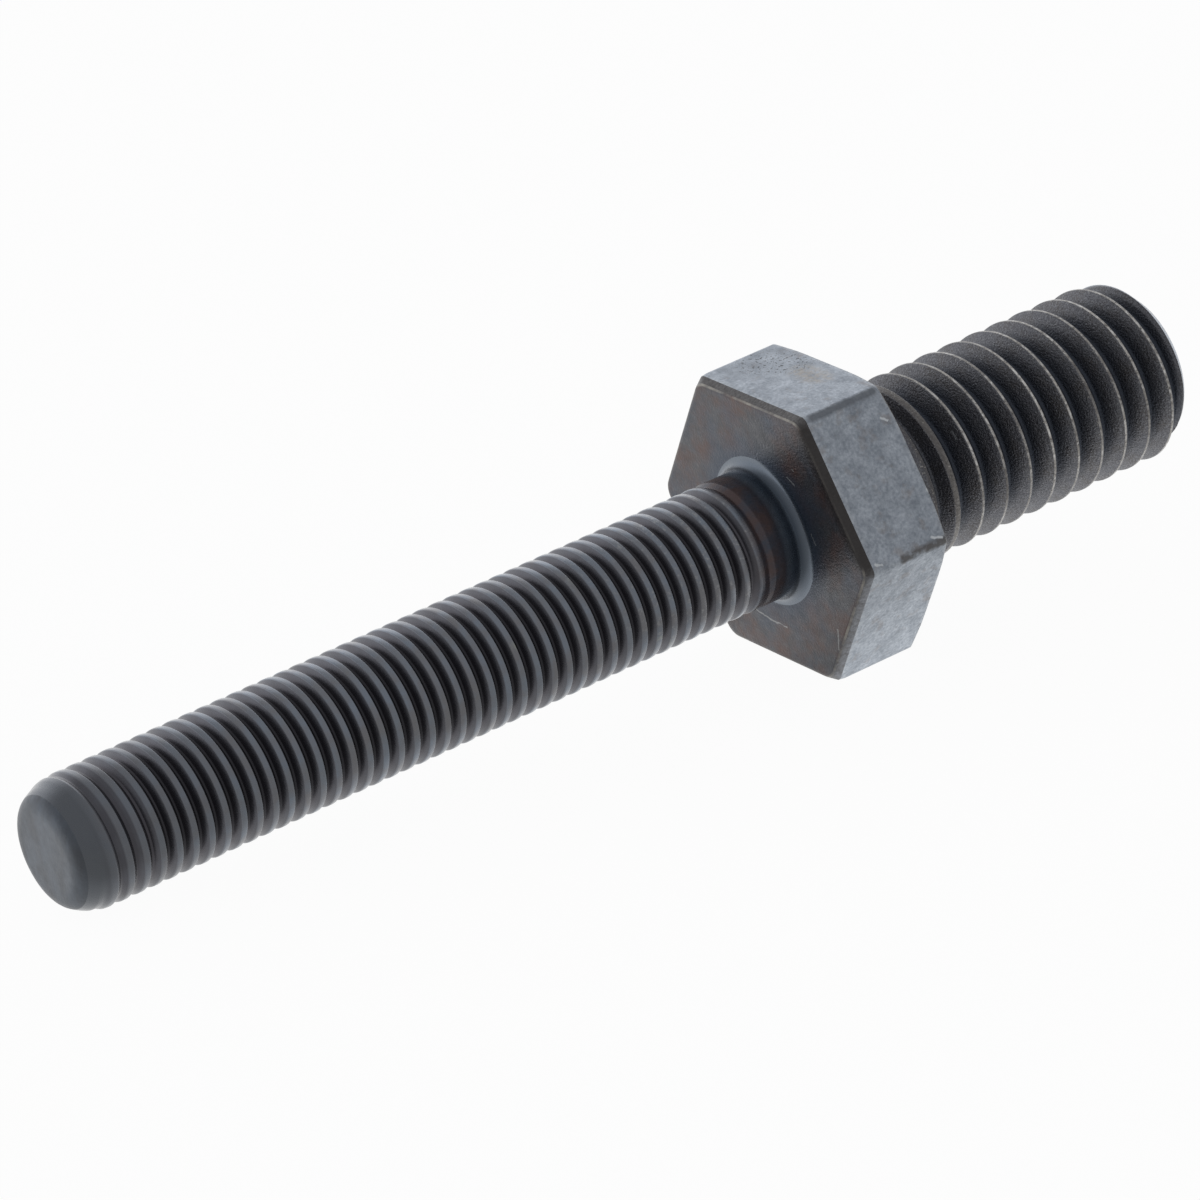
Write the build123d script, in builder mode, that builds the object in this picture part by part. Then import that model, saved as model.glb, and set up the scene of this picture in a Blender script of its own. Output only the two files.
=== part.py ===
from build123d import *
from math import atan, ceil, cos, degrees, radians, sin, tan
import os

# Threads: 5/16-24 on the nut end and 7/16-14 on the head end
inch = 25.4
nut_diameter = 7.85
head_diameter = 11.05
head_pitch = inch / 14

# Lengths of the two ends, each from the face of the hexagon beside it
nut_length = 49.55
head_length = 22.2

# Hexagon, with a pressed bevel on the nut side and a shallow turned cone on the head side
across_flats = 16.8
hex_thickness = 6.0
corner_radius = 0.35
bevel_depth = 0.6
bevel_width = 0.27
bevel_corner_radius = 1.1
cone_start_radius = 8.75
cone_angle = 15

# Fillets where the two ends leave the hexagon
nut_fillet = 0.65
head_fillet = 0.5

# Chamfered tips, the nut end's longer than it is deep and softly rounded at its face
nut_chamfer = 0.9
nut_chamfer_length = 1.5
nut_edge_radius = 0.5
head_chamfer = 1.1

# Unified thread form, its depth and crest as shares of the pitch
depth_share = 0.6134
crest_share = 1 / 8
flank_angle = 30

# The groove fades in beside the hexagon, cut by a shape that reaches just past the crests
fade_turns = 2
start_share = 0.2
cutter_clearance = 0.05

nut_radius = nut_diameter / 2
head_radius = head_diameter / 2
hex_radius = across_flats / 2
head_end = hex_thickness + head_length
thread_depth = depth_share * head_pitch

# At rest the stud lies on the rim of its nut end and on the lower edge of the hexagon's bevel
rim_height = nut_length - nut_chamfer_length
lean = atan((hex_radius - nut_radius) / (rim_height + bevel_depth))
axis_height = nut_radius * cos(lean) + rim_height * sin(lean)
nut_reach = nut_length * cos(lean) + (nut_radius - nut_chamfer) * sin(lean)
head_reach = head_end * cos(lean) + (head_radius - head_chamfer) * sin(lean)
lying = Plane(
    origin=((nut_reach - head_reach) / 2, 0, axis_height),
    x_dir=(0, 1, 0),
    z_dir=(cos(lean), 0, sin(lean)),
)


def bar(start, end, radius):
    """A turned bar about the stud's axis, whose seam keeps clear of where the groove begins."""
    with BuildPart() as turned:
        with BuildSketch(Plane.YZ):
            with Locations((0, start)):
                Rectangle(radius, end - start, align=(Align.MIN, Align.MIN))
        revolve(axis=Axis.Z)
    return turned.part


def hexagon(height, flat_radius, rounding):
    """A hexagon with rounded corners, square to the stud's axis."""
    with BuildSketch(Plane.XY.offset(height)) as outline:
        RegularPolygon(flat_radius, 6, major_radius=False)
        fillet(outline.vertices(), rounding)
    return outline.sketch


def groove_section(height, root_radius):
    """The groove's shape between two crests, where its root stands at this height and radius."""
    reach = thread_depth + cutter_clearance
    mouth_half = head_pitch * (1 - crest_share) / 2 + cutter_clearance * tan(radians(flank_angle))
    root_half = mouth_half - reach * tan(radians(flank_angle))
    with BuildSketch(Plane(origin=(root_radius, 0, height), x_dir=(1, 0, 0), z_dir=(0, 1, 0))) as section:
        with BuildLine():
            Polyline(
                (0, -root_half),
                (reach, -mouth_half),
                (reach, mouth_half),
                (0, root_half),
                close=True,
            )
        make_face()
    return section.sketch


# Groove of the head end: two turns that sink into the bar, then even turns past its tip
outer_radius = head_radius + cutter_clearance
root_radius = head_radius - thread_depth
fade_start = hex_thickness + start_share * head_pitch
fade_length = fade_turns * head_pitch
fade_slope = atan((outer_radius - root_radius) / fade_length)
full_start = fade_start + fade_length
full_turns = ceil((head_end - full_start) / head_pitch) + 1

with BuildPart() as groove:
    with BuildLine() as sinking:
        Helix(
            head_pitch / cos(fade_slope),
            fade_length,
            outer_radius,
            center=(0, 0, fade_start),
            cone_angle=-degrees(fade_slope),
        )
    sweep(groove_section(fade_start, outer_radius), path=sinking.line, is_frenet=True)
    with BuildLine() as even:
        for turn in range(full_turns):
            Helix(head_pitch, head_pitch, root_radius, center=(0, 0, full_start + turn * head_pitch))
    sweep(groove_section(full_start, root_radius), path=even.wires()[0], is_frenet=True)

# Head end: a bar from inside the hexagon, chamfered at its tip and cut by the groove
with BuildPart() as head:
    add(bar(hex_thickness / 2, head_end, head_radius))
    chamfer(head.edges().group_by(Axis.Z)[-1], head_chamfer)
    add(groove.part, mode=Mode.SUBTRACT)

# The whole stud about its own axis, with the hexagon's nut side at height 0
with BuildPart() as upright:
    loft([
        hexagon(0, hex_radius - bevel_width, bevel_corner_radius),
        hexagon(bevel_depth, hex_radius, corner_radius),
    ])
    extrude(hexagon(bevel_depth, hex_radius, corner_radius), amount=hex_thickness - bevel_depth)
    Cone(
        cone_start_radius + hex_thickness / tan(radians(cone_angle)),
        cone_start_radius,
        hex_thickness,
        align=(Align.CENTER, Align.CENTER, Align.MIN),
        mode=Mode.INTERSECT,
    )
    add(bar(hex_thickness, hex_thickness + head_fillet + cutter_clearance, head_radius))
    fillet(upright.edges(Select.LAST).filter_by(GeomType.CIRCLE).group_by(Axis.Z)[0], head_fillet)
    add(bar(-nut_length, 0, nut_radius))
    fillet(upright.edges(Select.LAST).filter_by(GeomType.CIRCLE).group_by(Axis.Z)[-1], nut_fillet)
    tip_face = upright.faces().sort_by(Axis.Z)[0]
    chamfer(tip_face.edges(), nut_chamfer, nut_chamfer_length, reference=tip_face)
    fillet(upright.edges().group_by(Axis.Z)[0], nut_edge_radius)
    add(head.part)

# The stud laid down on the floor
with BuildPart(lying) as rocker_stud:
    add(upright.part)

os.makedirs("parts", exist_ok=True)
rocker_stud.part.label = "rocker_stud"
export_step(rocker_stud.part, "parts/rocker_stud.step")
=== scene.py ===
from math import atan, atan2, ceil, cos, floor, pi, radians, sin, tan

import bmesh
import bpy
from mathutils import Matrix, Quaternion, Vector


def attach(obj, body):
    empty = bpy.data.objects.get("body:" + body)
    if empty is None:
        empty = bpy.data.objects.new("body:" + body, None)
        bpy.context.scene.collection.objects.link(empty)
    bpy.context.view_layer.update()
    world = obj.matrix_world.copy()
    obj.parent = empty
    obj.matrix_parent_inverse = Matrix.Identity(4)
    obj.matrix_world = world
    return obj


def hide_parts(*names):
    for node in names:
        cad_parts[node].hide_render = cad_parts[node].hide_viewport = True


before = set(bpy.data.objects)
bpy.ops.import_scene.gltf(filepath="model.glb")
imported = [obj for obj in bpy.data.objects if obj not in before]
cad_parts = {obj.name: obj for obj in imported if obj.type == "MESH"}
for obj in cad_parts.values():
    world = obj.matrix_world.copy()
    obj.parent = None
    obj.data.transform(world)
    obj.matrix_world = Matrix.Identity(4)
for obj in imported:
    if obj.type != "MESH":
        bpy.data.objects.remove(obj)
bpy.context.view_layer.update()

# Sizes in millimetres, with heights along the stud's axis from the hexagon's nut side
mm = 0.001
inch = 25.4
nut_radius = 3.925
nut_pitch = inch / 24
nut_length = 49.55
nut_chamfer = 0.9
nut_chamfer_length = 1.5
nut_edge_radius = 1.1
nut_fillet = 0.65
head_radius = 5.525
head_pitch = inch / 14
head_length = 22.2
head_chamfer = 1.1
head_chamfer_turn = pi / 4
head_edge_radius = 0.15
head_fillet = 0.5
hex_radius = 8.4
hex_thickness = 6.0
corner_radius = 0.5
bevel_depth = 0.6
bevel_width = 0.27
bevel_corner_radius = 1.1
cone_start_radius = 8.75
cone_slope = tan(radians(15))
head_end = hex_thickness + head_length

# Broken edges: how far each is cut back, and how far the softer one between bevel and flat
# reaches in, towards the nut side and towards the head side
edge_break = 0.06
soft_edge_inset = 0.045
soft_edge_below = 0.12
soft_edge_above = 0.26

# Thread form: flanks at 30 degrees, so the arcs at root and crest turn through 60 to meet them
flank = radians(30)
flank_turn = radians(60)

# Thread grooves: the depth below the crests, the radii rolled into root and crest, the faces
# across a flank, and the length over which the crests blend into the chamfer of a tip
nut_groove = {
    "pitch": nut_pitch, "depth": 0.5, "root": 0.13, "crest": 0.09, "flank_steps": 1, "blend": 0.5,
}
head_groove = {
    "pitch": head_pitch, "depth": 1.13, "root": 0.25, "crest": 0.1, "flank_steps": 3, "blend": 0.1,
}

# Height of one turn's root on the side of the hexagon's first corner
nut_root_height = -49.77
head_root_height = 6.31

# Heights of the root between which each groove sinks in or runs out
nut_sinks = (-49.8, -43.8)
nut_runs_out = (-4.1, -2.3)
head_sinks = (6.33, 9.92)

# The stud lies on the rim of its nut end and on the lower edge of the hexagon's bevel
rim_height = nut_length - nut_chamfer_length
lean = atan((hex_radius - nut_radius) / (rim_height + bevel_depth))
axis_height = nut_radius * cos(lean) + rim_height * sin(lean)
nut_reach = nut_length * cos(lean) + (nut_radius - nut_chamfer) * sin(lean)
head_reach = head_end * cos(lean) + (head_radius - head_chamfer) * sin(lean)
lying = Matrix((
    (0, -sin(lean), cos(lean), (nut_reach - head_reach) / 2),
    (1, 0, 0, 0),
    (0, cos(lean), sin(lean), axis_height),
    (0, 0, 0, 1),
))

# Points on each rounded corner and each flat of the hexagon, whose outermost two stand close
# to the corners, and on each rounded edge and fillet
corner_steps = 3
flat_steps = 10
flat_margin = 0.03
arc_steps = 6

# Points closer together than this become one
weld_distance = 0.0004


def outline(flat_radius, rounding):
    """Points round a hexagon with rounded corners, from the middle of its first corner."""
    points = []
    reach = (flat_radius - rounding) / cos(pi / 6)
    half_flat = reach * sin(pi / 6)

    def arc_point(middle, step):
        turn = middle + step / corner_steps * pi / 6
        return (
            reach * cos(middle) + rounding * cos(turn),
            reach * sin(middle) + rounding * sin(turn),
        )

    for corner in range(6):
        middle = corner * pi / 3
        face = middle + pi / 6
        points += [arc_point(middle, step) for step in range(corner_steps + 1)]
        for step in range(flat_steps + 1):
            share = min(max(step / flat_steps, flat_margin), 1 - flat_margin)
            along = (share * 2 - 1) * half_flat
            points.append((
                flat_radius * cos(face) - along * sin(face),
                flat_radius * sin(face) + along * cos(face),
            ))
        points += [arc_point(middle + pi / 3, step) for step in range(-corner_steps, 0)]
    return points


# Every ring of the mesh has its points at the same bearings round the axis
bearings = [atan2(y, x) % (2 * pi) for x, y in outline(hex_radius - bevel_width, bevel_corner_radius)]

# The stud's mesh, which keeps how deep in a groove and how worn each of its points is
stud = bmesh.new()
groove_layer = stud.verts.layers.float.new("groove_share")
edge_layer = stud.verts.layers.float.new("edge_wear")


def circle(radius, height):
    return [(radius * cos(bearing), radius * sin(bearing), height) for bearing in bearings]


def hexagon(flat_radius, rounding, height):
    return [(x, y, height) for x, y in outline(flat_radius, rounding)]


def add_ring(points, wear=0.0):
    ring = [stud.verts.new(point) for point in points]
    for vertex in ring:
        vertex[edge_layer] = wear
    return ring


def rings_between(first, second, shares):
    """Adds a ring at each of these shares of the way from one ring to another."""
    return [
        add_ring([Vector(a).lerp(Vector(b), share) for a, b in zip(first, second)])
        for share in shares
    ]


def skin(rings, finish):
    """Faces between each ring and the next, in one finish."""
    for lower, upper in zip(rings, rings[1:]):
        for here in range(len(lower)):
            there = (here + 1) % len(lower)
            face = stud.faces.new((lower[here], lower[there], upper[there], upper[here]))
            face.material_index = finish


def cap(ring, height, finish):
    """Closes a ring with a fan of faces round a point on the axis."""
    middle = stud.verts.new((0, 0, height))
    for here in range(len(ring)):
        there = (here + 1) % len(ring)
        face = stud.faces.new((ring[here], ring[there], middle))
        face.material_index = finish


def fillet_rings(start_radius, radius, start_height, end_height):
    """Rings of a hollow fillet, from the bar out to the face that it meets."""
    rings = []
    for step in range(arc_steps + 1):
        turn = step / arc_steps * pi / 2
        rings.append(circle(
            start_radius + radius * (1 - cos(turn)),
            start_height + (end_height - start_height) * sin(turn),
        ))
    return rings


def share_of(value, start, end):
    """How far a value is from start to end, kept between 0 and 1."""
    return min(max((value - start) / (end - start), 0.0), 1.0)


def soft_least(first, second, blend):
    """The lesser of two values, rounded where they cross."""
    overlap = max(blend - abs(first - second), 0.0) / blend
    return min(first, second) - overlap * overlap * blend / 4


def groove_lines(groove):
    """Half a groove's section, from its root to the middle of the crest beside it.

    Each point is an offset along the axis and a depth below the crest.
    """
    depth, root, crest = groove["depth"], groove["root"], groove["crest"]
    sharp_edge = root * cos(flank) + (depth - root / 2) * tan(flank)
    crest_start = sharp_edge + crest * tan(flank)
    lines = [
        (root * sin(turn), depth - root * (1 - cos(turn)))
        for turn in (0, flank_turn / 2, flank_turn)
    ]
    crest_arc = [
        (crest_start - crest * sin(turn), crest * (1 - cos(turn)))
        for turn in (flank_turn, flank_turn * 2 / 3, flank_turn / 3)
    ]
    foot, shoulder = lines[-1], crest_arc[0]
    for step in range(1, groove["flank_steps"]):
        share = step / groove["flank_steps"]
        lines.append(tuple(a + (b - a) * share for a, b in zip(foot, shoulder)))
    lines += crest_arc
    if crest_start < groove["pitch"] / 2:
        lines.append((crest_start, 0.0))
    return lines + [(groove["pitch"] / 2, 0.0)]


def threaded_bar(radius, groove, root_height, share_at, low_end, high_end, end_radius, finish):
    """A helical skin from one end ring to another, with its edges along the thread.

    share_at gives how much of the groove's depth and width is left at a height of its root.
    low_end and high_end are the height and radius where the skin stops, and end_radius limits
    the radius at a height. The crests are marked as worn, a wide one only along its edges.
    """
    spare_turns = 2
    crest_depth = 0.001
    pitch = groove["pitch"]
    half = groove_lines(groove)
    lines = [(-offset, below) for offset, below in reversed(half[1:])] + half[:-1]
    first_turn = floor((low_end[0] - root_height) / pitch) - spare_turns
    last_turn = ceil((high_end[0] - root_height) / pitch) + spare_turns
    columns = []
    for bearing in bearings:
        column = []
        for turn in range(first_turn, last_turn + 1):
            root = root_height + (turn + bearing / (2 * pi)) * pitch
            depth_share, width_share = share_at(root)
            for offset, below in lines:
                if abs(offset) < pitch / 2:
                    offset *= width_share
                height = root + offset
                if height <= low_end[0]:
                    height, reach = low_end
                elif height >= high_end[0]:
                    height, reach = high_end
                else:
                    reach = soft_least(radius - below * depth_share, end_radius(height), groove["blend"])
                vertex = stud.verts.new((reach * cos(bearing), reach * sin(bearing), height))
                vertex[groove_layer] = below * depth_share / groove["depth"]
                wide_middle = abs(offset) == pitch / 2 and width_share < 1
                vertex[edge_layer] = 0.0 if wide_middle or below > crest_depth else depth_share
                column.append(vertex)
        columns.append(column)
    # The last column meets the first one a whole turn further on
    neighbours = columns[1:] + [columns[0][len(lines):]]
    for column, beside in zip(columns, neighbours):
        for row in range(min(len(column), len(beside)) - 1):
            corners = (column[row], beside[row], beside[row + 1], column[row + 1])
            heights = {vertex.co.z for vertex in corners}
            if len(heights) > 1:
                face = stud.faces.new(corners)
                face.material_index = finish


# Finishes, in the order of the mesh's material slots
rolled_thread, forged_face, drawn_flat, cut_thread, sheared_tip = range(5)


# Nut end, from the middle of its tip to the fillet at the hexagon
def nut_share(root):
    """The rolled groove keeps its width where it fades at both ends."""
    return min(share_of(root, *nut_sinks), 1 - share_of(root, *nut_runs_out)), 1


def nut_end_radius(height):
    return nut_radius - nut_chamfer + (height + nut_length) * nut_chamfer / nut_chamfer_length


nut_chamfer_turn = atan(nut_chamfer_length / nut_chamfer)
nut_arc_centre = nut_radius - nut_chamfer - nut_edge_radius * tan(nut_chamfer_turn / 2)


def nut_tip_edge(turn):
    """Height and radius on the rounded edge of the nut end, from its face round to its chamfer."""
    return (
        nut_edge_radius * (1 - cos(turn)) - nut_length,
        nut_arc_centre + nut_edge_radius * sin(turn),
    )


nut_tip_rings = [
    add_ring(circle(nut_arc_centre * share, -nut_length)) for share in (0.35, 0.7, 0.93)
]
for step in range(arc_steps + 1):
    height, radius = nut_tip_edge(nut_chamfer_turn * step / arc_steps)
    nut_tip_rings.append(add_ring(circle(radius, height)))
cap(nut_tip_rings[0], -nut_length, sheared_tip)
skin(nut_tip_rings, sheared_tip)
threaded_bar(
    nut_radius, nut_groove, nut_root_height, nut_share,
    nut_tip_edge(nut_chamfer_turn), (-nut_fillet, nut_radius), nut_end_radius, rolled_thread,
)

# Hexagon: fillet, nut-side face, bevel, flats, cone and seat
nut_fillet_rings = [
    add_ring(points) for points in fillet_rings(nut_radius, nut_fillet, -nut_fillet, 0)
]
skin(nut_fillet_rings, rolled_thread)

face_middle = circle(nut_radius + nut_fillet, 0)
face_edge = hexagon(hex_radius - bevel_width - edge_break, bevel_corner_radius, 0)
face_rings = [nut_fillet_rings[-1]]
face_rings += rings_between(face_middle, face_edge, (0.05, 0.25, 0.5, 0.75, 0.95))
face_rings.append(add_ring(face_edge, wear=1.0))
skin(face_rings, forged_face)

bevel_start = hexagon(hex_radius - bevel_width, bevel_corner_radius, edge_break)
bevel_end = hexagon(hex_radius - soft_edge_inset, corner_radius, bevel_depth - soft_edge_below)
bevel_rings = [face_rings[-1], add_ring(bevel_start, wear=1.0)]
bevel_rings += rings_between(bevel_start, bevel_end, (0.2, 0.8))
bevel_rings.append(add_ring(bevel_end, wear=0.6))
skin(bevel_rings, forged_face)


def on_cone(points):
    """A ring set at the height of the shallow cone turned on the hexagon's head side."""
    return [
        (x, y, hex_thickness - max(Vector((x, y)).length - cone_start_radius, 0) * cone_slope)
        for x, y, _ in points
    ]


def pulled_in(points, limit):
    """A ring drawn in towards the axis to a largest radius."""
    ring = []
    for x, y, height in points:
        reach = Vector((x, y)).length
        scale = min(limit, reach) / reach
        ring.append((x * scale, y * scale, height))
    return ring


flat_top = [
    (x, y, height - edge_break)
    for x, y, height in on_cone(hexagon(hex_radius, corner_radius, 0))
]
flat_low = hexagon(hex_radius, corner_radius, bevel_depth + soft_edge_above)
flat_rings = [bevel_rings[-1], add_ring(flat_low)]
flat_rings += rings_between(flat_low, flat_top, (0.1, 0.5, 0.95))
flat_rings.append(add_ring(flat_top, wear=0.8))
skin(flat_rings, drawn_flat)

seat_edge = on_cone(hexagon(hex_radius - edge_break, corner_radius, 0))
cone_end = on_cone(pulled_in(
    hexagon(hex_radius - 2 * edge_break, corner_radius, 0), cone_start_radius
))
seat_middle = circle(head_radius + head_fillet, hex_thickness)
seat_rings = [flat_rings[-1], add_ring(seat_edge, wear=0.8), add_ring(cone_end)]
seat_rings += rings_between(cone_end, seat_middle, (0.1, 0.5, 0.9))
head_fillet_points = fillet_rings(
    head_radius, head_fillet, hex_thickness + head_fillet, hex_thickness
)
seat_rings += [add_ring(points) for points in reversed(head_fillet_points)]
skin(seat_rings, forged_face)


# Head end, from the fillet at the hexagon to the middle of its tip
def head_share(root):
    """The cut groove sinks in as its cutter does, so it widens as it deepens."""
    narrowest = 0.01
    share = share_of(root, *head_sinks)
    return share, max(share, narrowest)


def head_end_radius(height):
    return head_radius - head_chamfer + head_end - height


head_arc_centre = head_radius - head_chamfer - head_edge_radius * tan(head_chamfer_turn / 2)


def head_tip_edge(turn):
    """Height and radius on the rounded edge of the head end, from its face round to its chamfer."""
    return (
        head_end - head_edge_radius * (1 - cos(turn)),
        head_arc_centre + head_edge_radius * sin(turn),
    )


threaded_bar(
    head_radius, head_groove, head_root_height, head_share,
    (hex_thickness + head_fillet, head_radius), head_tip_edge(head_chamfer_turn), head_end_radius,
    cut_thread,
)
head_tip_rings = []
for turn in (head_chamfer_turn, head_chamfer_turn / 2, 0):
    height, radius = head_tip_edge(turn)
    head_tip_rings.append(add_ring(circle(radius, height)))
head_tip_rings += [
    add_ring(circle(head_arc_centre * share, head_end)) for share in (0.95, 0.6, 0.3)
]
skin(head_tip_rings, sheared_tip)
cap(head_tip_rings[-1], head_end, sheared_tip)

# One closed skin, laid down on the floor, which keeps where on the upright stud each point is
bmesh.ops.remove_doubles(stud, verts=stud.verts, dist=weld_distance)
bmesh.ops.dissolve_degenerate(stud, edges=stud.edges, dist=weld_distance)
bmesh.ops.recalc_face_normals(stud, faces=stud.faces)
place_layer = stud.verts.layers.float_vector.new("stud_place")
for vertex in stud.verts:
    vertex[place_layer] = vertex.co
stud.transform(Matrix.Scale(mm, 4) @ lying)
for face in stud.faces:
    face.smooth = True
stud_mesh = bpy.data.meshes.new("rocker_stud_skin")
stud.to_mesh(stud_mesh)
stud.free()
stud_piece = bpy.data.objects.new("rocker_stud_skin", stud_mesh)
bpy.context.collection.objects.link(stud_piece)

# Finishes: every one is steel, blackened or grey with oxide, under a thin film of oil
oil_roughness = 0.25
oil_ior = 1.47

# The colour mix's share and its two colours, and its result
mix_share, mix_under, mix_over = 0, 6, 7
mix_result = 2

# Marks wander by this width and over this length in millimetres, and are solid over a share
mark_wander = 0.2
mark_wander_length = 1 / 3
mark_core = 0.4


def linear(hex_colour):
    """A colour written as sRGB hex, turned to the linear values that a shader takes."""
    values = [int(hex_colour[at:at + 2], 16) / 255 for at in (1, 3, 5)]
    return tuple(v / 12.92 if v <= 0.04045 else ((v + 0.055) / 1.055) ** 2.4 for v in values) + (1.0,)


def add_node(tree, kind, sockets=None, **settings):
    """Adds a node with its settings, and gives its sockets values or other nodes' outputs."""
    node = tree.nodes.new(kind)
    for name, value in settings.items():
        setattr(node, name, value)
    for name, value in (sockets or {}).items():
        if isinstance(value, bpy.types.NodeSocket):
            tree.links.new(value, node.inputs[name])
        else:
            node.inputs[name].default_value = value
    return node


def new_finish(name, metallic, oil):
    """A material with its shader under a film of oil, and the place on the stud in millimetres."""
    material = bpy.data.materials.new(name)
    material.use_nodes = True
    tree = material.node_tree
    tree.nodes.clear()
    shader = add_node(tree, "ShaderNodeBsdfPrincipled", {
        "Metallic": metallic, "Coat Weight": oil,
        "Coat Roughness": oil_roughness, "Coat IOR": oil_ior,
    })
    add_node(tree, "ShaderNodeOutputMaterial", {"Surface": shader.outputs["BSDF"]})
    place = add_node(tree, "ShaderNodeAttribute", attribute_name="stud_place").outputs["Vector"]
    stud_mesh.materials.append(material)
    return tree, shader, place


def cover(tree, *limits):
    """How much of something shows, from 0 to 1, as the product of its limits.

    A limit is a node's output, a number, or an output with its values for none and for all.
    """
    share = None
    for limit in limits:
        if isinstance(limit, tuple):
            value, none_at, all_at = limit
            limit = add_node(
                tree, "ShaderNodeMapRange",
                {"Value": value, "From Min": none_at, "From Max": all_at},
            ).outputs["Result"]
        share = limit if share is None else add_node(
            tree, "ShaderNodeMath", {0: share, 1: limit}, operation="MULTIPLY"
        ).outputs["Value"]
    return share


def painted(tree, colour, *coats):
    """A colour under coats of others, each with the limits of its cover.

    A colour is sRGB hex or a node's output.
    """
    if isinstance(colour, str):
        colour = linear(colour)
    for coat, *limits in coats:
        colour = add_node(tree, "ShaderNodeMix", {
            mix_share: cover(tree, *limits), mix_under: colour,
            mix_over: linear(coat) if isinstance(coat, str) else coat,
        }, data_type="RGBA").outputs[mix_result]
    return colour


def vary(tree, shader, name, start, end, *limits):
    """Takes one of the shader's values from start to end as its limits open."""
    spread = add_node(
        tree, "ShaderNodeMapRange",
        {"Value": cover(tree, *limits), "To Min": start, "To Max": end},
    )
    tree.links.new(spread.outputs["Result"], shader.inputs[name])


def patches(tree, place, size, low, high, detail=3.0, offset=(0, 0, 0), stretch=(1, 1, 1)):
    """Cloudy patches of a size in millimetres, from 0 below low to 1 above high."""
    moved = add_node(
        tree, "ShaderNodeMapping", {"Vector": place, "Location": offset, "Scale": stretch}
    )
    cloud = add_node(tree, "ShaderNodeTexNoise", {
        "Vector": moved.outputs["Vector"], "Scale": 1 / size, "Detail": detail, "Roughness": 0.6,
    })
    return cover(tree, (cloud.outputs["Fac"], low, high))


def marks(tree, place, lines, width):
    """1 along short marks of a width in millimetres between pairs of places, and 0 beside them."""
    wander = add_node(tree, "ShaderNodeTexNoise", {
        "Vector": place, "Scale": 1 / mark_wander_length, "Detail": 2.0,
    })
    bent = add_node(
        tree, "ShaderNodeVectorMath",
        {0: wander.outputs["Color"], 1: (mark_wander, mark_wander, mark_wander), 2: place},
        operation="MULTIPLY_ADD",
    ).outputs["Vector"]
    wander_middle = Vector((mark_wander, mark_wander, mark_wander)) / 2
    found = None
    for start, end in lines:
        run = Vector(end) - Vector(start)
        offset = add_node(
            tree, "ShaderNodeVectorMath",
            {0: bent, 1: Vector(start) + wander_middle}, operation="SUBTRACT",
        ).outputs["Vector"]
        along = add_node(
            tree, "ShaderNodeVectorMath",
            {0: offset, 1: run / run.length_squared}, operation="DOT_PRODUCT",
        ).outputs["Value"]
        nearest = add_node(
            tree, "ShaderNodeVectorMath",
            {0: run, "Scale": cover(tree, (along, 0.0, 1.0))}, operation="SCALE",
        ).outputs["Vector"]
        gap = add_node(
            tree, "ShaderNodeVectorMath", {0: offset, 1: nearest}, operation="DISTANCE"
        ).outputs["Value"]
        share = cover(tree, (gap, width, width * mark_core))
        found = share if found is None else add_node(
            tree, "ShaderNodeMath", {0: found, 1: share}, operation="MAXIMUM"
        ).outputs["Value"]
    return found


def grain(tree, shader, place, size, height):
    """Raised grain of a size and height in millimetres.

    Real oxide grit is 0.02 to 0.05 mm, too fine for the picture, so each size is drawn at
    about two of its pixels, and the height is raised with it.
    """
    speckle = patches(tree, place, size, 0.2, 0.8, detail=2.0)
    bump = add_node(tree, "ShaderNodeBump", {"Height": speckle, "Distance": height * mm})
    tree.links.new(bump.outputs["Normal"], shader.inputs["Normal"])


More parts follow.
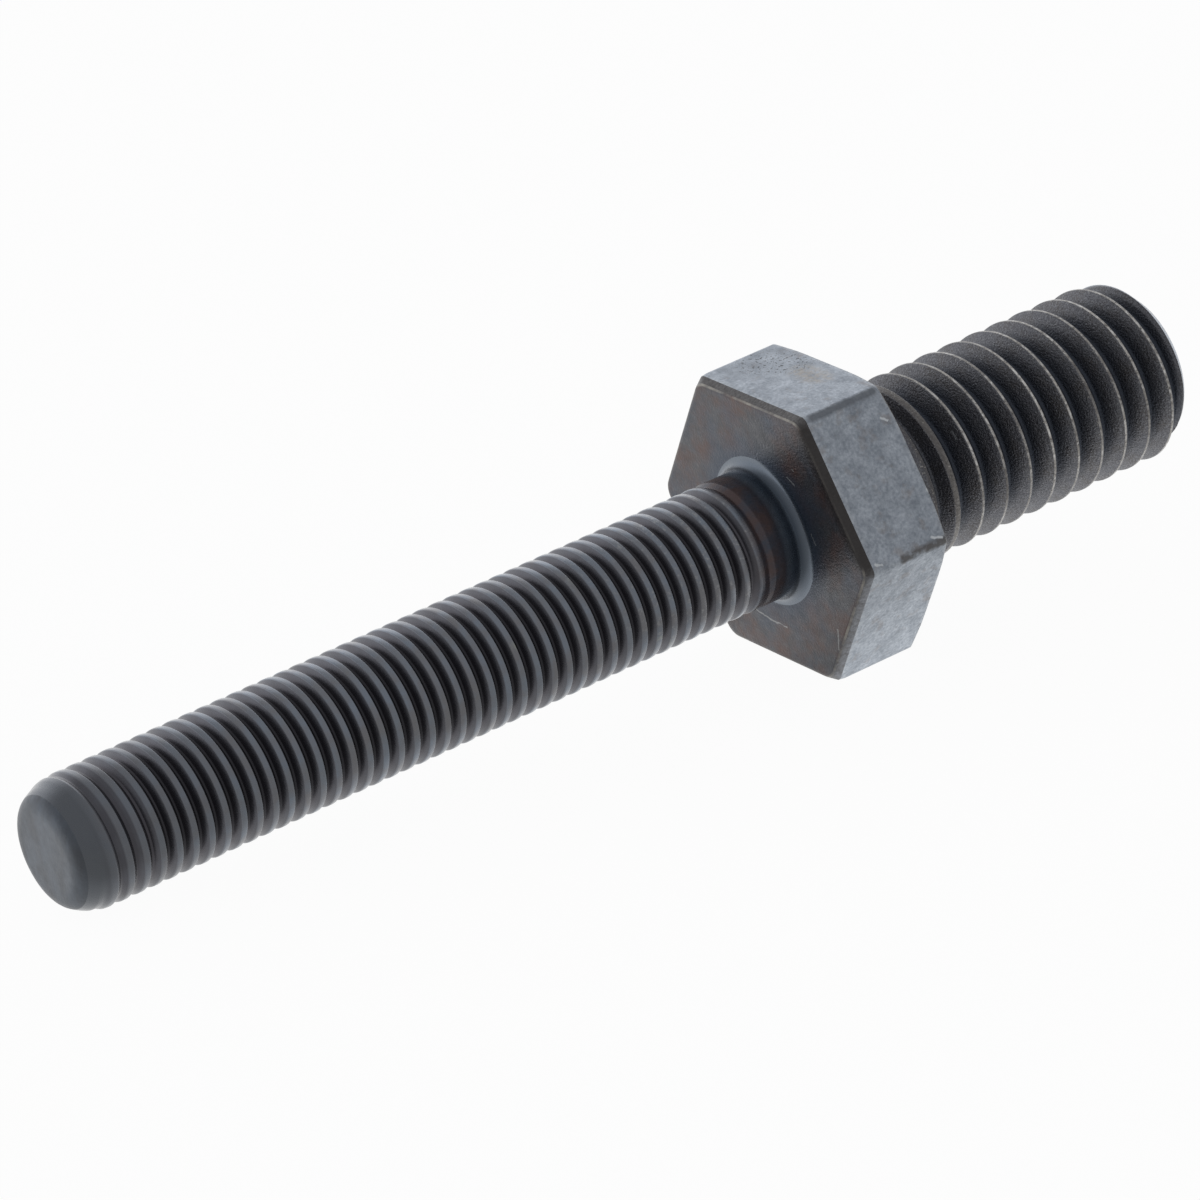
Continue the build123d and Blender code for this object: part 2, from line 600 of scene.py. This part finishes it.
# Rolled and blackened steel: a dense dark skin, rubbed soft blue-grey on the crests, that turns
# dull grey at the tip and brown on the neck beside the hexagon's blue-grey fillet. The crests
# are lighter partly as painted highlight, the grooves darker towards the root partly as painted
# shade over the dark oxide, and a dark band on the neck and one across the fillet are painted shade
def make_rolled_thread():
    tree, shader, place = new_finish("rolled_black_oxide", metallic=1.0, oil=0.5)
    groove = add_node(tree, "ShaderNodeAttribute", attribute_name="groove_share").outputs["Fac"]
    height = add_node(tree, "ShaderNodeSeparateXYZ", {"Vector": place}).outputs["Z"]
    cloud = patches(tree, place, 1.6, 0.35, 0.65)
    rubbed = marks(tree, place, (
        ((-3.44, 1.73, -20.1), (-3.62, 1.31, -19.6)), ((-1.8, 3.4, -14.7), (-2.2, 3.1, -14.6)),
        ((-3.5, -1.5, -10.5), (-3.0, -2.4, -9.7)),
    ), width=0.4)
    neck = cover(tree, (height, -3.6, -2.9), (height, -0.8, -1.5))
    flank_colour = painted(tree, "#56565c", ("#5e5f66", cloud))
    # Crests rubbed pale in places, duller towards the tip and speckled near the neck
    crest_colour = painted(
        tree, "#86868a",
        ("#88919d", cloud),
        ("#a9aaa0", rubbed, patches(tree, place, 0.4, 0.4, 0.7)),
        ("#71747a", (height, -34.0, -47.0), 0.7),
        ("#b4b5b5", patches(tree, place, 0.25, 0.55, 0.68), (height, -18.0, -8.0), 0.6),
    )
    # Brown neck, darkened next to the fillet by painted shade
    neck_colour = painted(
        tree, "#5a4b4a",
        ("#474c57", patches(tree, place, 1.5, 0.42, 0.66)),
        ("#2f343d", (height, -1.9, -1.2)),
    )
    # Blue-grey fillet, with a painted shade band across its inner part, lighter again towards the face
    fillet_colour = painted(
        tree, "#5b6876",
        ("#3f4955", (height, -0.7, -0.4)),
        ("#626b76", (height, -0.42, -0.14)),
    )
    # From the crest down to a nearly black root, with painted highlight on the crests and painted
    # shade deepening into the grooves over the dark oxide, then the neck, the fillet and the tip
    colour = painted(
        tree, crest_colour,
        (flank_colour, (groove, 0.02, 0.16)),
        ("#4f4d53", (groove, 0.3, 0.7)),
        ("#2b2a30", (groove, 0.86, 0.97)),
        (neck_colour, neck),
        (fillet_colour, (height, -1.6, -1.0)),
        ("#666a70", (height, -47.4, -48.2)),
    )
    tree.links.new(colour, shader.inputs["Base Color"])
    vary(tree, shader, "Metallic", 1.0, 0.4, neck)
    vary(tree, shader, "Coat Weight", 0.7, 0.0, (neck, 0.0, 0.6))
    vary(tree, shader, "Roughness", 0.22, 0.32, patches(tree, place, 0.5, 0.3, 0.7))
    grain(tree, shader, place, size=0.14, height=0.003)


# Forged and blackened face: dark, with brown and blue tints left by the heat, a few light
# scratches, a bevel whose edges are rubbed to a dull pale line, and painted shade darkening
# the bevel along one flat
def make_forged_face():
    tree, shader, place = new_finish("forged_black_oxide", metallic=0.7, oil=0.4)
    wear = add_node(tree, "ShaderNodeAttribute", attribute_name="edge_wear").outputs["Fac"]
    height = add_node(tree, "ShaderNodeSeparateXYZ", {"Vector": place}).outputs["Z"]
    from_axis = add_node(
        tree, "ShaderNodeVectorMath", {0: place}, operation="LENGTH"
    ).outputs["Value"]
    bevel_colour = painted(
        tree, "#504e4e",
        ("#737171", patches(tree, place, 0.14, 0.3, 0.7, stretch=(1, 1, 0.3))),
    )
    scuffed = marks(tree, place, (((-9.4, -0.6, 0.4), (-5.1, -8.0, 0.4)),), width=0.6)
    # Painted shade: a dark band along the bevel beside one flat
    painted_bevel_shade = marks(tree, place, (((-5.0, 7.5, 0.3), (-9.0, 0.6, 0.3)),), width=0.8)
    scratched = marks(tree, place, (
        ((1.81, -5.67, 0), (0.43, -5.88, 0)), ((0.43, -5.88, 0), (-0.98, -5.89, 0)),
        ((-5.99, -4.49, 0), (-5.83, -5.83, 0)), ((-3.0, 4.3, 0), (-3.6, 4.0, 0)),
        ((-3.6, 5.0, 0), (-3.7, 4.9, 0)), ((4.62, -9.0, 0), (4.2, -9.3, 0)),
        ((-4.6, 1.2, 0), (-4.9, 0.6, 0)), ((7.8, -7.0, 0), (7.5, -7.3, 0)),
    ), width=0.07)
    # Mottled grey, heat tints, blue round the fillet, then the bevel, scuffs and worn edges,
    # painted shade along one bevel, and scratches
    colour = painted(
        tree, "#4c4d52",
        ("#5d5e62", patches(tree, place, 0.5, 0.3, 0.7)),
        ("#624e49", patches(tree, place, 2.5, 0.43, 0.66, detail=4.0, offset=(7, 3, 0))),
        ("#4a5565", patches(tree, place, 2.3, 0.46, 0.7, detail=4.0, offset=(1, 9, 4)), 0.6),
        ("#434e5e", (from_axis, 6.2, 4.7), 0.85),
        (bevel_colour, (height, 0.03, 0.12), (height, 3.0, 2.0)),
        ("#91949a", scuffed, patches(tree, place, 0.35, 0.2, 0.6)),
        ("#a5a199", (wear, 0.6, 1.0), patches(tree, place, 1.3, 0.36, 0.62, detail=6.0)),
        ("#3b3735", painted_bevel_shade, 0.85),
        ("#a3a4a4", scratched, 0.8),
    )
    tree.links.new(colour, shader.inputs["Base Color"])
    vary(tree, shader, "Roughness", 0.36, 0.5, patches(tree, place, 0.8, 0.3, 0.7))
    grain(tree, shader, place, size=0.16, height=0.026)


# Cold-drawn bar flats: light blue-grey, softly mottled and fine-grained, pitted in one place,
# with painted shade along two corners, and nicked down to bright steel
def make_drawn_flat():
    tree, shader, place = new_finish("drawn_grey_oxide", metallic=1.0, oil=0.2)
    wear = add_node(tree, "ShaderNodeAttribute", attribute_name="edge_wear").outputs["Fac"]
    specks = patches(tree, place, 0.2, 0.3, 0.7, detail=2.0)
    dull = painted(tree, "#929aa4", ("#b0b7c0", specks))
    pale = painted(tree, "#afb7c1", ("#d4dbe3", specks))
    warm = marks(tree, place, (((0.3, 8.4, 4.4), (-1.1, 8.4, 4.4)),), width=1.1)
    pitted = marks(tree, place, (((3.4, 8.4, 3.4), (1.9, 8.4, 4.6)),), width=2.2)
    # Painted shade along two of the hexagon's corners, the second broken into patches
    upper_corner_shade = marks(tree, place, (((-4.95, 8.28, 0.9), (-4.95, 8.28, 5.3)),), width=0.36)
    lower_corner_shade = marks(tree, place, (((-9.6, 0.12, 2.6), (-9.6, 0.12, 5.6)),), width=0.36)
    nicked = marks(tree, place, (
        ((-5.73, 6.87, 5.1), (-5.85, 6.66, 5.4)), ((-8.1, 2.76, 5.9), (-8.24, 2.53, 6.1)),
        ((-9.4, 0.5, 4.9), (-9.5, 0.3, 5.5)), ((-9.45, 0.4, 0.75), (-9.5, 0.3, 1.1)),
    ), width=0.11)
    # Dull and pale blotches, faint warm tints, pits, then worn edges, painted shade along two
    # corners, and nicks
    colour = painted(
        tree, dull,
        (pale, patches(tree, place, 1.1, 0.33, 0.67, detail=5.0)),
        ("#978b84", patches(tree, place, 0.9, 0.56, 0.72, offset=(3, 1, 6)), 0.4),
        ("#c2b9ad", warm, patches(tree, place, 0.35, 0.35, 0.6), 0.6),
        ("#686c71", patches(tree, place, 0.2, 0.54, 0.66, detail=1.0), pitted),
        ("#d3d8dd", wear, patches(tree, place, 0.4, 0.35, 0.65)),
        ("#777b81", upper_corner_shade, 0.75),
        ("#6d6966", lower_corner_shade, patches(tree, place, 0.7, 0.3, 0.5), 0.8),
        ("#e9edf0", nicked),
    )
    tree.links.new(colour, shader.inputs["Base Color"])
    vary(tree, shader, "Roughness", 0.42, 0.55, patches(tree, place, 0.5, 0.3, 0.7))
    grain(tree, shader, place, size=0.12, height=0.018)


# Cut and blackened thread: near-black flanks with a fine light grit, drawn as coarse as it
# needs to show, roots darkened with painted shade, thin crests worn to bare steel here and
# there and painted near white as a painted highlight, and a painted highlight on the tip's rim
def make_cut_thread():
    tree, shader, place = new_finish("cut_black_oxide", metallic=1.0, oil=0.5)
    groove = add_node(tree, "ShaderNodeAttribute", attribute_name="groove_share").outputs["Fac"]
    crest = add_node(tree, "ShaderNodeAttribute", attribute_name="edge_wear").outputs["Fac"]
    height = add_node(tree, "ShaderNodeSeparateXYZ", {"Vector": place}).outputs["Z"]
    near_crest = cover(tree, (groove, 0.2, 0.02))
    # Worn bare steel on the crests, painted near white as a painted highlight
    wear_and_glint = cover(
        tree, crest, (height, 9.2, 12.0),
        patches(tree, place, 3.0, 0.25, 0.6, offset=(2, 5, 8)),
        patches(tree, place, 0.18, 0.28, 0.54),
    )
    wear_and_glint_colour = painted(tree, "#cfcac2", ("#fffdf8", patches(tree, place, 0.4, 0.4, 0.6)))
    nicked = marks(tree, place, (
        ((-4.0, 3.16, 11.2), (-4.33, 2.7, 11.3)), ((-4.03, 3.13, 11.6), (-4.25, 2.83, 11.25)),
        ((-5.0, -0.9, 24.4), (-4.8, -1.6, 24.7)), ((-4.9, -1.1, 24.9), (-4.5, -2.2, 25.1)),
    ), width=0.1)
    # Flanks with their grit, blue-black roots deepened by painted shade, then worn crests with
    # their painted highlight, flecks, the painted highlight on the tip's rim, and nicks
    colour = painted(
        tree, "#5e5f65",
        ("#5a5757", patches(tree, place, 1.6, 0.4, 0.65)),
        ("#7b7c81", patches(tree, place, 0.1, 0.42, 0.66, detail=1.0)),
        ("#383e49", (groove, 0.45, 0.95)),
        ("#676361", crest),
        (wear_and_glint_colour, wear_and_glint),
        ("#b5b2ac", near_crest, patches(tree, place, 0.12, 0.6, 0.7)),
        # painted highlight where the tip's rim catches the light
        ("#b9c3cf", (height, 26.5, 26.9), near_crest),
        ("#a3a6a8", nicked),
    )
    tree.links.new(colour, shader.inputs["Base Color"])
    vary(tree, shader, "Roughness", 0.42, 0.55, crest)
    vary(tree, shader, "Metallic", 1.0, 0.15, wear_and_glint)
    grain(tree, shader, place, size=0.12, height=0.032)


# Sheared and tumbled tips: plain grey with a matt surface
def make_sheared_tip():
    tree, shader, place = new_finish("tumbled_tip_oxide", metallic=1.0, oil=0.3)
    cloud = patches(tree, place, 1.2, 0.35, 0.65, stretch=(1, 0.35, 1))
    tree.links.new(painted(tree, "#5c5f64", ("#666c74", cloud)), shader.inputs["Base Color"])
    vary(tree, shader, "Roughness", 0.42, 0.52, patches(tree, place, 0.5, 0.3, 0.7))
    grain(tree, shader, place, size=0.15, height=0.01)


make_rolled_thread()
make_forged_face()
make_drawn_flat()
make_cut_thread()
make_sheared_tip()

# Large faces rule the shading, so flats stay flat beside their rounded edges
weighting = stud_piece.modifiers.new("flat_shading", "WEIGHTED_NORMAL")
weighting.mode = "FACE_AREA"
weighting.weight = 60

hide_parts("rocker_stud")
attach(stud_piece, "root")

# Floor and studio: how bright their dim side is against the white one
dim_level = 0.42

# Where the floor goes from dim to white across the stud, in metres, beside each of its ends,
# and where along the stud the second begins
nut_end_dims = (-0.007, 0.0025)
head_end_dims = (-0.016, -0.004)
head_end_begins = (0.008, 0.012)


def make_floor():
    """White paper that keeps the stud's shadow, and that the steel reflects dimmer in front."""
    half_side = 1.5
    seen_white = 0.96
    mesh = bpy.data.meshes.new("floor")
    sides = ((-1, -1), (1, -1), (1, 1), (-1, 1))
    corners = [(x * half_side, y * half_side, 0) for x, y in sides]
    mesh.from_pydata(corners, [], [(0, 1, 2, 3)])
    floor_piece = bpy.data.objects.new("floor", mesh)
    bpy.context.collection.objects.link(floor_piece)
    material = bpy.data.materials.new("white_paper")
    material.use_nodes = True
    tree = material.node_tree
    paper = tree.nodes["Principled BSDF"]
    paper.inputs["Base Color"].default_value = linear("#fcfcfc")
    paper.inputs["Roughness"].default_value = 0.9
    paper.inputs["Specular IOR Level"].default_value = 0.1
    path = add_node(tree, "ShaderNodeLightPath").outputs
    spot = add_node(tree, "ShaderNodeTexCoord").outputs["Object"]
    spot = add_node(tree, "ShaderNodeSeparateXYZ", {"Vector": spot}).outputs
    by_nut_end, by_head_end = [
        add_node(tree, "ShaderNodeMapRange", {
            "Value": spot["Y"], "From Min": dims[0], "From Max": dims[1], "To Min": dim_level,
        }).outputs["Result"]
        for dims in (nut_end_dims, head_end_dims)
    ]
    by_head_end = cover(tree, by_head_end, (spot["X"], *head_end_begins))
    level = by_nut_end
    for other in (by_head_end, path["Is Camera Ray"]):
        level = add_node(
            tree, "ShaderNodeMath", {0: level, 1: other}, operation="MAXIMUM"
        ).outputs["Value"]
    white = add_node(
        tree, "ShaderNodeEmission", {"Color": linear("#ffffff"), "Strength": level}
    ).outputs["Emission"]
    seen = add_node(tree, "ShaderNodeMath", {
        0: cover(tree, path["Is Camera Ray"], seen_white), 1: path["Is Glossy Ray"],
    }, operation="MAXIMUM").outputs["Value"]
    mixed = add_node(
        tree, "ShaderNodeMixShader", {0: seen, 1: paper.outputs["BSDF"], 2: white}
    ).outputs["Shader"]
    tree.links.new(mixed, tree.nodes["Material Output"].inputs["Surface"])
    mesh.materials.append(material)


def make_studio():
    """White walls all round, and a dimmer strip along the stud where the room is open.

    The two directions are the stud's own, and the one square to it and to the open side. How
    far a wall faces the open side goes from -1 to 1, and it dims between two such values.
    """
    along_stud = (0.9958, 0.0, 0.0916)
    square_to_open_side = (-0.079, 0.517, 0.852)
    dims_from, dims_to = -0.6, 0.1
    world = bpy.data.worlds.new("studio")
    bpy.context.scene.world = world
    world.use_nodes = True
    tree = world.node_tree
    sky = tree.nodes["Background"]
    sky.inputs["Color"].default_value = linear("#fbfcff")
    towards = add_node(tree, "ShaderNodeTexCoord").outputs["Generated"]
    around = add_node(
        tree, "ShaderNodeVectorMath", {0: towards, 1: along_stud}, operation="CROSS_PRODUCT"
    ).outputs["Vector"]
    bearing = add_node(
        tree, "ShaderNodeVectorMath", {0: around}, operation="NORMALIZE"
    ).outputs["Vector"]
    facing = add_node(
        tree, "ShaderNodeVectorMath", {0: bearing, 1: square_to_open_side},
        operation="DOT_PRODUCT",
    ).outputs["Value"]
    wall = add_node(tree, "ShaderNodeMapRange", {
        "Value": facing, "From Min": dims_from, "From Max": dims_to,
        "To Min": 1.0, "To Max": dim_level,
    }, interpolation_type="SMOOTHSTEP").outputs["Result"]
    seen = add_node(tree, "ShaderNodeLightPath").outputs["Is Camera Ray"]
    level = add_node(
        tree, "ShaderNodeMath", {0: wall, 1: seen}, operation="MAXIMUM"
    ).outputs["Value"]
    tree.links.new(level, sky.inputs["Strength"])


make_floor()
make_studio()

# Camera, in metres and degrees, where the photograph was taken from
camera_place = Vector((-0.20835, -0.29488, 0.15916))
camera_target = Vector((-0.00114, 0.00013, 0.00746))
camera_roll = radians(-3.71)
sensor_width = 36.0
lens = 207.36

camera = bpy.data.cameras.new("camera")
camera.sensor_width = sensor_width
camera.lens = lens
camera.clip_start = 0.01
camera_holder = bpy.data.objects.new("camera", camera)
camera_holder.location = camera_place
aim = (camera_target - camera_place).to_track_quat("-Z", "Y")
camera_holder.rotation_euler = (aim @ Quaternion((0, 0, 1), camera_roll)).to_euler()
bpy.context.collection.objects.link(camera_holder)
bpy.context.scene.camera = camera_holder
bpy.context.scene.view_settings.view_transform = "Standard"
